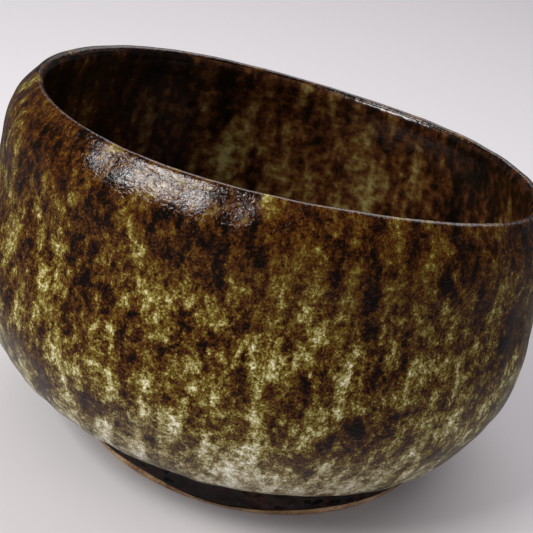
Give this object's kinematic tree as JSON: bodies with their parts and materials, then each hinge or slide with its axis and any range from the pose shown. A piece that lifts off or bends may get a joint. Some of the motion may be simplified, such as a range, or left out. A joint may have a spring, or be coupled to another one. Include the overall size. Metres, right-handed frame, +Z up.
{
  "type": "tea bowl",
  "caption": "Hand-thrown stoneware tea bowl with a rounded wall, a slanted lip, a low foot ring and a mottled glaze.",
  "frame": {"origin": "on the plane the foot stands on, under the middle of the belly", "axes": "+Z up out of the mouth, +X to the right and -Y towards a viewer who has the lip's high side at front left"},
  "size_m": [0.1216, 0.1216, 0.079],
  "materials": {
    "stoneware": "unglazed fired stoneware, buff to tan, fine grog",
    "dark_glaze": "glossy black-brown iron glaze",
    "ash_glaze": "glossy ash glaze mottled olive, ochre and cream over dark brown",
    "liner_glaze": "glossy dark brown glaze with olive runs"
  },
  "bodies": {
    "root": {"clay_body": "stoneware", "foot_ring": "stoneware", "base_glaze": "dark_glaze", "foot_well_glaze": "dark_glaze", "ash_glaze": "ash_glaze", "liner_glaze": "liner_glaze"}
  },
  "joints": []
}
